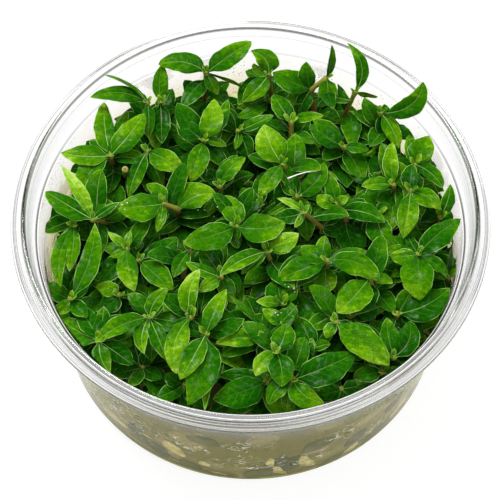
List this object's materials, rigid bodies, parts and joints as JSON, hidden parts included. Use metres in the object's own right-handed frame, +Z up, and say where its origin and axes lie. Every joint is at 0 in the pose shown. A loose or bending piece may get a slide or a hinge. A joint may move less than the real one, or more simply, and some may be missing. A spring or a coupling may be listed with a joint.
{
  "type": "staurogyne repens in a culture cup",
  "caption": "Young aquarium plants with opposite oval leaves, growing close together in gel in a round clear plastic culture cup with a wide rim and no lid.",
  "frame": {"origin": "centre of the cup's foot, on the surface that the cup stands on", "axes": "+Z up along the cup's axis; +X to the right and +Y away from the viewer of the picture"},
  "size_m": [0.101, 0.101, 0.052],
  "materials": {
    "cup": "clear, glossy, fogged inside by condensation",
    "gel": "translucent beige gel",
    "plant": "fresh green leaf, slightly waxy"
  },
  "bodies": {
    "root": {"cup": "cup", "culture_gel": "gel", "plantlet_01": "plant", "plantlet_02": "plant", "plantlet_03": "plant", "plantlet_04": "plant", "plantlet_05": "plant", "plantlet_06": "plant", "plantlet_07": "plant", "plantlet_08": "plant", "plantlet_09": "plant", "plantlet_10": "plant", "plantlet_11": "plant", "plantlet_12": "plant", "plantlet_13": "plant", "plantlet_14": "plant", "plantlet_15": "plant", "plantlet_16": "plant", "plantlet_17": "plant", "plantlet_18": "plant", "plantlet_19": "plant", "plantlet_20": "plant", "plantlet_21": "plant", "plantlet_22": "plant", "plantlet_23": "plant", "plantlet_24": "plant", "plantlet_25": "plant", "plantlet_26": "plant", "plantlet_27": "plant", "plantlet_28": "plant", "plantlet_29": "plant", "plantlet_30": "plant", "plantlet_31": "plant", "plantlet_32": "plant", "plantlet_33": "plant", "plantlet_34": "plant", "plantlet_35": "plant", "plantlet_36": "plant", "plantlet_37": "plant", "plantlet_38": "plant", "plantlet_39": "plant", "plantlet_40": "plant", "plantlet_41": "plant", "plantlet_42": "plant", "plantlet_43": "plant", "plantlet_44": "plant", "plantlet_45": "plant", "plantlet_46": "plant", "plantlet_47": "plant", "plantlet_48": "plant", "plantlet_49": "plant", "plantlet_50": "plant", "plantlet_51": "plant", "plantlet_52": "plant", "plantlet_53": "plant", "plantlet_54": "plant", "plantlet_55": "plant", "plantlet_56": "plant", "plantlet_57": "plant", "plantlet_58": "plant"}
  },
  "joints": []
}
